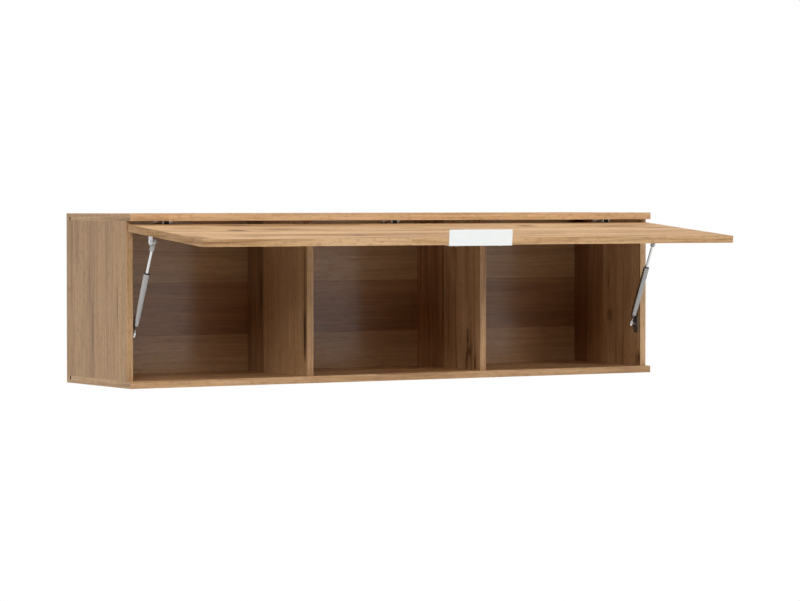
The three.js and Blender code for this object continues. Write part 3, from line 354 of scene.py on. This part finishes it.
def oak(name, upright=False, seed=0.0, banded=True, strips=(), knots=(), cracks=(), grooves=(),
        gloss=0.42, specular=0.5, tint=(1.0, 1.0, 1.0), tone=0.0, band=0.0, end=0.0, right=0.0,
        staves=0.0, veins=0.5, streaky=1.0, bold=0.75, dashes=0.35, seam_dark=0.5,
        dark_knots=0.62):
    """
    Knotty oak foil. strips: (point on a seam, tone beyond it, redness beyond it); darker strips at
    the back of a bay's wall are painted shade of its back corner. knots: (point, radius). cracks:
    (point, length, width), each with a halo of brown staining and painted shadow. grooves: (y, z)
    of the middle of a groove, whose walls are painted dark as shade. Points are of the row frame,
    in metres. tone lightens the whole board; band, end and right lighten its front edge, its end
    faces and its right face.
    """
    foil = Foil(name, upright, seed, banded)
    graph = foil.graph
    cores = foil.part_round(knots)
    plank_and_shade_tone, redness, seam = foil.lay_planks_and_shade(strips, staves, seam_dark)

    broad = foil.streaks(BROAD)
    middle = foil.streaks(MIDDLE)
    lines = foil.streaks(LINES)
    fine = foil.streaks(FINE)
    rings = graph.math("SINE", graph.math(
        "MULTIPLY_ADD", foil.bent, RINGS_ACROSS, graph.math("MULTIPLY", broad, RINGS_SWAY)))
    shade = graph.total(
        graph.centred(broad, bold * streaky),
        graph.centred(middle, MIDDLE_SHADE * streaky),
        graph.centred(lines, LINES_SHADE * streaky),
        graph.centred(fine, FINE_SHADE * streaky),
        graph.math("MULTIPLY", rings, RINGS_SHADE * streaky),
        graph.math("MULTIPLY", foil.on_band, band),
        graph.math("MULTIPLY", foil.on_end, end),
        graph.math("MULTIPLY", foil.on_right, right),
        plank_and_shade_tone, PLAIN_SHADE + tone)
    color = graph.blend(graph.ramp(shade, *DARK_SHADES), OAK_DARK, OAK_MID)
    color = graph.blend(graph.ramp(shade, *LIGHT_SHADES), color, OAK_LIGHT)
    color = graph.blend(graph.ramp(shade, *DEEP_SHADES), color, KNOT_AND_SHADE)
    color = graph.blend(redness, color, graph.blend(1.0, color, REDDEN, "MULTIPLY"))

    pore = graph.ramp(foil.streaks(PORES), *PORE_MASK)
    color = graph.ink(pore, PORE_INK, color, OAK_DARK)
    dash = graph.ramp(foil.streaks(DASHES), *DASH_MASK)
    color = graph.ink(dash, dashes, color, OAK_DARK)
    vein = graph.ramp(foil.streaks(VEINS), *VEIN_MASK)
    color = graph.ink(vein, veins, color, OAK_DARK)
    color = graph.blend(seam, color, CRACK_AND_SHADE)

    open_wood_and_groove_shade = 0.0
    for core in cores:
        color = graph.ink(graph.ramp(core, *RING_MASK), RING_INK, color, KNOT_AND_SHADE)
        ragged = graph.math("MULTIPLY", core, graph.ramp(middle, *HEART_TORN))
        heart = graph.math("MULTIPLY", graph.ramp(ragged, *HEART_MASK), dark_knots)
        open_wood_and_groove_shade = graph.math("MAXIMUM", open_wood_and_groove_shade, heart)
    for point, length, width in cracks:
        line, stain_and_shadow = foil.crack(point, length, width, lines, fine)
        # a halo of brown staining and painted shadow round each crack
        color = graph.ink(stain_and_shadow, STAIN_AND_SHADOW_INK, color, KNOT_AND_SHADE)
        open_wood_and_groove_shade = graph.math("MAXIMUM", open_wood_and_groove_shade, graph.math("MULTIPLY", line, CRACK_INK))
    # painted shade on the walls of each groove
    for mouth in grooves:
        open_wood_and_groove_shade = graph.math("MAXIMUM", open_wood_and_groove_shade, foil.groove(mouth))
    # knot hearts, crack lines and the grooves' painted shade, in near-black
    color = graph.blend(open_wood_and_groove_shade, color, CRACK_AND_SHADE)
    color = graph.blend(1.0, color, tint, "MULTIPLY")

    scuff = graph.noise(graph.vector(foil.along, foil.across), SCUFF_SCALE, 3.0)
    roughness = graph.total(
        graph.ramp(fine, *GRAIN_MASK, gloss + GRAIN_DULL, gloss + GRAIN_CLEAR),
        graph.centred(scuff, SCUFF),
        graph.math("MULTIPLY", open_wood_and_groove_shade, OPEN_DULL))
    height = graph.math(
        "SUBTRACT",
        graph.math("MULTIPLY", fine, FINE_RELIEF),
        graph.total(graph.math("MULTIPLY", pore, PORE_RELIEF),
                    graph.math("MULTIPLY", dash, PORE_RELIEF), open_wood_and_groove_shade, seam))
    return graph.finish(color, roughness, height, FOIL_RELIEF, Specular_IOR_Level=specular)


FLECKS = (900.0, 900.0, 60.0)  # per metre; a dowel's grain runs upright
FLECK_MASK = (0.35, 0.65)
FLECK_DULL = (0.3, 0.7, 0.7, 0.85)
FLECK_RELIEF = 0.00008


def beech():
    graph = Graph("beech_turned")
    place = graph.split(graph.add("ShaderNodeTexCoord").outputs["Object"])
    flecks = graph.noise(graph.scaled(place, FLECKS))
    color = graph.blend(graph.ramp(flecks, *FLECK_MASK), OAK_MID, BEECH)
    return graph.finish(color, graph.ramp(flecks, *FLECK_DULL), flecks, FLECK_RELIEF)


# ---- Metals, paint and plastics --------------------------------------------------------------

BRUSHING = (2600.0, 60.0, 60.0)  # brush lines to a metre in x, y and z
SCRATCHES = (300.0, 900.0, 120.0)
SCRATCH_NOISE = (1.0, 4.0, 0.6, 2.0)
SCRATCH_MASK = (0.62, 0.70)
SCRATCH_INK = 0.18
SCRATCH_RELIEF = 0.3
METAL_RELIEF = 0.00003
PLATING_SCALE = 160.0
PLATING_MASK = (0.35, 0.75)
DULLED = 0.72  # a worn metal's colour, and a rubbed one's, as shares of the plating's
RUBBED = 1.25
ROUGHNESS_SPREAD = (0.85, 1.2)
CLOUDS = (0.3, 0.7)

STRUT_BASE = (-0.2798, -0.2605)  # (y, z) of the struts' base balls
STRUT_WAY = (-0.4213, 0.9069)  # and the way from there to the balls on the flap
FOOT_LENGTH = 0.0084
FOOT_FADE = 0.0006
FOOT_POLISH = -0.6  # share by which it is smoother than the tube

PEEL_SCALE = 1400.0
PEEL_ROUGHNESS = 0.12
PEEL_RELIEF = 0.00003
FADE_SCALE = 22.0
FADE_ROUGHNESS = 0.04


def metal(name, color, roughness, brushed=0.0, wear=0.3, bright_foot=False):
    """Plated or polished metal: fine brushing along Y and Z, cloudy plating, faint scratches."""
    graph = Graph(name)
    place = graph.add("ShaderNodeTexCoord").outputs["Object"]
    x, y, z = parts = graph.split(place)
    lines = graph.noise(graph.scaled(parts, BRUSHING))
    clouds = graph.noise(place, PLATING_SCALE, 3.0)
    scratched = graph.noise(graph.scaled(parts, SCRATCHES), *SCRATCH_NOISE)
    scratches = graph.ramp(scratched, *SCRATCH_MASK)
    dull = tuple(DULLED * value for value in color)
    rubbed = tuple(min(1.0, RUBBED * value) for value in color)
    shade = graph.blend(graph.ramp(clouds, *PLATING_MASK, 0.0, wear), color, dull)
    shade = graph.ink(scratches, SCRATCH_INK, shade, rubbed)
    rough = graph.total(
        graph.ramp(clouds, *CLOUDS, *(roughness * share for share in ROUGHNESS_SPREAD)),
        graph.centred(lines, brushed))
    if bright_foot:
        foot = strut_foot(graph, y, z)
        shade = graph.blend(foot, shade, CHROME)
        rough = graph.math("MULTIPLY_ADD", foot, FOOT_POLISH * roughness, rough)
    height = graph.total(
        graph.math("MULTIPLY", lines, brushed),
        graph.math("MULTIPLY", scratches, SCRATCH_RELIEF))
    return graph.finish(shade, rough, height, METAL_RELIEF, Metallic=1.0)


def strut_foot(graph, y, z):
    """1 on the polished end fitting of a strut's tube, below FOOT_LENGTH from its base ball."""
    reach = 0.0
    for value, ball, way in zip((y, z), STRUT_BASE, STRUT_WAY):
        reach = graph.math("MULTIPLY_ADD", graph.math("SUBTRACT", value, ball), way, reach)
    return graph.ramp(reach, FOOT_LENGTH, FOOT_LENGTH + FOOT_FADE, 1.0, 0.0)


def coated(name, color, roughness, fade=0.06):
    """Powder coat or moulded plastic: a fine grain in the surface and a slight unevenness."""
    graph = Graph(name)
    place = graph.add("ShaderNodeTexCoord").outputs["Object"]
    grain = graph.noise(place, PEEL_SCALE)
    clouds = graph.noise(place, FADE_SCALE, 3.0)
    darker = tuple(value * (1.0 - 2.0 * fade) for value in color)
    shade = graph.blend(graph.ramp(clouds, *CLOUDS), darker, color)
    rough = graph.total(
        graph.ramp(clouds, *CLOUDS, roughness + FADE_ROUGHNESS, roughness - FADE_ROUGHNESS),
        graph.centred(grain, PEEL_ROUGHNESS))
    return graph.finish(shade, rough, grain, PEEL_RELIEF)


# ---- Materials on the nodes ------------------------------------------------------------------


def dress(material, *names):
    for name in names:
        slots = nodes[name].data.materials
        slots.clear()
        slots.append(material)


def matching(*starts):
    return [name for name in sorted(nodes) if name.startswith(starts)]


LEFT_FACE = -0.700  # x of the upright faces that the camera sees
DIVIDER_1_FACE = -0.2413
DIVIDER_2_FACE = 0.2253
RIGHT_FACE = 0.684
BACK_FACE = -0.0195  # y of the back panel's front
TOP_GROOVE = (-0.018, -0.0045)  # (y, z) of the middle of the back panel's grooves
BOTTOM_GROOVE = (-0.018, -0.3645)

dress(oak("oak_top", seed=1.0, band=0.11, staves=0.20, grooves=(TOP_GROOVE,)), "top_panel")
dress(oak("oak_bottom", seed=2.3, tone=-0.03, staves=0.20, grooves=(BOTTOM_GROOVE,)),
      "bottom_panel")
dress(oak(
    # end=0.16 paints a sheen on the flap's end faces as a lighter tone
    "oak_flap", seed=3.1, gloss=0.58, specular=0.18, tone=0.12, band=-0.05, end=0.16,
    staves=0.14, veins=0.6, streaky=1.1, bold=2.0,
    knots=(
        ((-0.508, -0.455, -0.0283), 0.016),
        ((-0.272, -0.576, -0.0385), 0.011),
        ((0.297, -0.386, -0.0224), 0.017)),
    cracks=(
        ((-0.382, -0.433, -0.0264), 0.080, 0.009),
        ((-0.452, -0.340, -0.0185), 0.090, 0.011),
        ((-0.591, -0.394, -0.0231), 0.100, 0.006),
        ((-0.550, -0.606, -0.0410), 0.060, 0.005),
        ((-0.032, -0.418, -0.0252), 0.080, 0.005),
        ((0.554, -0.398, -0.0234), 0.110, 0.008),
        ((0.618, -0.447, -0.0276), 0.060, 0.005))), "flap_door")
dress(oak(
    "oak_left_side", upright=True, seed=4.7, tone=-0.06, band=0.03, veins=0.15, streaky=0.55,
    bold=0.6, dashes=0.50, seam_dark=0.3,
    strips=(
        ((LEFT_FACE, -0.142, 0.0), -0.10, 0.0),
        ((LEFT_FACE, -0.094, 0.0), 0.04, 0.0)),
    cracks=(
        ((LEFT_FACE, -0.132, -0.245), 0.120, 0.0020),
        ((LEFT_FACE, -0.117, -0.150), 0.120, 0.0016),
        ((LEFT_FACE, -0.256, -0.200), 0.100, 0.0020))), "left_side_panel")
dress(oak(
    "oak_right_side", upright=True, seed=5.2, tone=-0.35, band=0.60, right=0.30, streaky=0.75,
    seam_dark=0.15, dark_knots=0.90,
    strips=(
        ((RIGHT_FACE, -0.2965, 0.0), 0.37, 0.0),
        # the two rear strips are painted shade in the back corner of bay 3
        ((RIGHT_FACE, -0.143, 0.0), -0.20, 0.4),
        ((RIGHT_FACE, -0.076, 0.0), -0.57, 0.6)),
    knots=(
        ((RIGHT_FACE, -0.173, -0.243), 0.009),
        ((RIGHT_FACE, -0.294, -0.343), 0.011)),
    cracks=(
        ((RIGHT_FACE, -0.168, -0.154), 0.040, 0.0022),)), "right_side_panel")
dress(oak(
    "oak_divider_1", upright=True, seed=6.9, tone=0.16, band=-0.12, streaky=0.85,
    strips=(
        # the rear strip is painted shade in the back corner of bay 1
        ((DIVIDER_1_FACE, -0.095, 0.0), -0.38, 0.0),),
    cracks=(
        ((DIVIDER_1_FACE, -0.289, -0.265), 0.130, 0.0075),
        ((DIVIDER_1_FACE, -0.289, -0.150), 0.280, 0.0038),
        ((DIVIDER_1_FACE, -0.084, -0.180), 0.120, 0.0050))), "divider_1")
dress(oak(
    "oak_divider_2", upright=True, seed=7.4, tone=0.03, band=0.03, streaky=1.1,
    strips=(
        # the rear strip is painted shade in the back corner of bay 2
        ((DIVIDER_2_FACE, -0.140, 0.0), -0.20, 0.7),),
    knots=(
        ((DIVIDER_2_FACE, -0.250, -0.318), 0.007),),
    cracks=(
        ((DIVIDER_2_FACE, -0.136, -0.190), 0.240, 0.0030),
        ((DIVIDER_2_FACE, -0.246, -0.292), 0.055, 0.0060),
        ((DIVIDER_2_FACE, -0.241, -0.343), 0.050, 0.0075),
        ((DIVIDER_2_FACE, -0.260, -0.322), 0.080, 0.0032),
        ((DIVIDER_2_FACE, -0.279, -0.345), 0.045, 0.0034))), "divider_2")
dress(oak(
    "oak_back", seed=8.6, banded=False, gloss=0.15, specular=0.60, tint=(0.90, 0.90, 0.89),
    staves=0.05, streaky=0.42, dashes=0.20, seam_dark=0.12,
    strips=(
        ((0.0, BACK_FACE, -0.2754), -0.15, 0.6),
        ((0.0, BACK_FACE, -0.1530), 0.15, -0.6))), "back_panel")
dress(beech(), *matching("dowel"))
dress(coated("white_paint", WHITE_PAINT, 0.38, fade=0.01), "edge_handle")
dress(metal("nickel_plate", NICKEL, 0.30, 0.06),
      *matching("hinge_plate", "hinge_arm", "hinge_cup"))
dress(metal("dark_steel", DARK_STEEL, 0.45, 0.05), *matching("hinge_link", "hinge_pin"))
dress(metal("zinc_plate", ZINC, 0.34, 0.05),
      *matching("handle_screw", "hanger_hook", "flap_bracket"))
dress(metal("bracket_steel", BRACKET_STEEL, 0.42, 0.05), *matching("strut_bracket"))
dress(metal("chrome_polish", CHROME, 0.10, 0.02, wear=0.1),
      *matching("flap_stud", "base_stud", "strut_rod", "socket_clip"))
dress(metal("tube_coat", TUBE_GREY, 0.30, 0.03, wear=0.2, bright_foot=True),
      *matching("strut_tube"))
# the hinge dampers' black plastic also fills the arms' hollow fronts as painted shade
dress(coated("black_plastic", BLACK, 0.5), *matching("strut_seal", "hinge_damper"))
dress(coated("socket_plastic", SOCKET_GREY, 0.42), *matching("rod_socket"))
dress(coated("housing_plastic", HOUSING_WHITE, 0.5), *matching("hanger_housing"))


# ---- Stage -----------------------------------------------------------------------------------

FLOOR_DROP = 1.45  # hanging height of the cabinet's top over the floor
FLOOR_RADIUS = 3.6
FLOOR_SIDES = 96
FLOOR_FORWARD = -0.2
STAGE_CLOUDS = 3.0
STAGE_ROUGHNESS = (0.85, 0.95)


def pale(name, color):
    graph = Graph(name)
    place = graph.add("ShaderNodeTexCoord").outputs["Object"]
    cloud = graph.noise(place, STAGE_CLOUDS)
    return graph.finish(color, graph.ramp(cloud, *CLOUDS, *STAGE_ROUGHNESS))


def lay_floor():
    turns = [math.tau * step / FLOOR_SIDES for step in range(FLOOR_SIDES)]
    rim = [(FLOOR_RADIUS * math.cos(turn), FLOOR_RADIUS * math.sin(turn), 0.0) for turn in turns]
    mesh = bpy.data.meshes.new("floor")
    mesh.from_pydata(rim, [], [range(len(rim))])
    floor = bpy.data.objects.new("floor", mesh)
    floor.location = (0.0, FLOOR_FORWARD, -FLOOR_DROP)
    mesh.materials.append(pale("floor_white", FLOOR_WHITE))
    bpy.context.scene.collection.objects.link(floor)


SKY_LEVEL = 0.04
SKY_WHITE = (1.0, 1.0, 1.0, 1.0)


def light_sky():
    """Even light from all round; what the eye and reflections see of it is white."""
    world = bpy.data.worlds.new("studio")
    bpy.context.scene.world = world
    world.use_nodes = True
    tree = world.node_tree
    tree.nodes.clear()
    skies = []
    for strength in (1.0, SKY_LEVEL):
        sky = tree.nodes.new("ShaderNodeBackground")
        sky.inputs["Strength"].default_value = strength
        sky.inputs["Color"].default_value = SKY_WHITE
        skies.append(sky)
    seen, lit = skies
    path = tree.nodes.new("ShaderNodeLightPath")
    direct = path.outputs["Is Camera Ray"]
    for ray in ("Is Glossy Ray", "Is Transmission Ray"):
        either = tree.nodes.new("ShaderNodeMath")
        either.operation = "MAXIMUM"
        tree.links.new(direct, either.inputs[0])
        tree.links.new(path.outputs[ray], either.inputs[1])
        direct = either.outputs[0]
    mix = tree.nodes.new("ShaderNodeMixShader")
    tree.links.new(direct, mix.inputs[0])
    tree.links.new(lit.outputs[0], mix.inputs[1])
    tree.links.new(seen.outputs[0], mix.inputs[2])
    output = tree.nodes.new("ShaderNodeOutputWorld")
    tree.links.new(mix.outputs[0], output.inputs["Surface"])


BOX_DISTANCE = 9.0
BOX_SIZE = 3.6
BOX_AIM = (0.0, -0.2, -0.2)
# Softboxes: name, azimuth, elevation, power, whether reflections see it.
STUDIO = (
    ("front_left_box", 35.0, 25.0, 213.0, False),
    ("front_right_box", -35.0, 25.0, 208.0, False),
    ("front_high_box", 0.0, 50.0, 278.0, False),
    ("left_high_box", 60.0, 50.0, 137.0, False),
    ("left_box", 70.0, 25.0, 132.0, True),
    ("rear_high_box", 180.0, 50.0, 253.0, False),
)


def softbox(name, azimuth, elevation, power, reflected):
    """A square area light aimed at the cabinet; azimuth 0 is straight in front, 90 to its left."""
    turn, rise = math.radians(azimuth), math.radians(elevation)
    way = (-math.sin(turn) * math.cos(rise), -math.cos(turn) * math.cos(rise), math.sin(rise))
    data = bpy.data.lights.new(name, "AREA")
    data.size = BOX_SIZE
    data.energy = power
    lamp = bpy.data.objects.new(name, data)
    lamp.location = [aim + BOX_DISTANCE * part for aim, part in zip(BOX_AIM, way)]
    lamp.rotation_euler = (math.pi / 2 - rise, 0.0, -turn)
    lamp.visible_camera = False
    lamp.visible_glossy = reflected
    bpy.context.scene.collection.objects.link(lamp)


CARD_AZIMUTH = 22.0  # behind the camera
CARD_DISTANCE = 11.0
CARD_SIZE = (9.0, 9.0)


def hang_card():
    """A dark card that only reflections see: it gives the polished metal its contrast."""
    turn = math.radians(CARD_AZIMUTH)
    half_width, half_height = (size / 2 for size in CARD_SIZE)
    corners = [(-half_width, 0.0, -half_height), (half_width, 0.0, -half_height),
               (half_width, 0.0, half_height), (-half_width, 0.0, half_height)]
    mesh = bpy.data.meshes.new("dark_card")
    mesh.from_pydata(corners, [], [range(len(corners))])
    mesh.materials.append(pale("card_black", CARD_BLACK))
    card = bpy.data.objects.new("dark_card", mesh)
    card.location = (-CARD_DISTANCE * math.sin(turn), -CARD_DISTANCE * math.cos(turn), 0.0)
    card.rotation_euler = (0.0, 0.0, -turn)
    card.visible_camera = False
    card.visible_diffuse = False
    card.visible_shadow = False
    bpy.context.scene.collection.objects.link(card)


# ---- Camera ----------------------------------------------------------------------------------

LENS = 152.44
SENSOR_WIDTH = 36.0
FAR_CLIP = 100.0
EYE = (-4.0643, -6.9745, 0.0399)
HEADING = 31.372  # degrees to the right of straight into the cabinet
PITCH = -1.712


def aim_camera():
    data = bpy.data.cameras.new("camera")
    data.sensor_width = SENSOR_WIDTH
    data.sensor_fit = "HORIZONTAL"
    data.lens = LENS
    data.clip_end = FAR_CLIP
    camera = bpy.data.objects.new("camera", data)
    camera.location = EYE
    camera.rotation_euler = (math.radians(90.0 + PITCH), 0.0, math.radians(-HEADING))
    bpy.context.scene.collection.objects.link(camera)
    bpy.context.scene.camera = camera


lay_floor()
light_sky()
hang_card()
for box in STUDIO:
    softbox(*box)
aim_camera()
bpy.context.scene.view_settings.view_transform = "Standard"
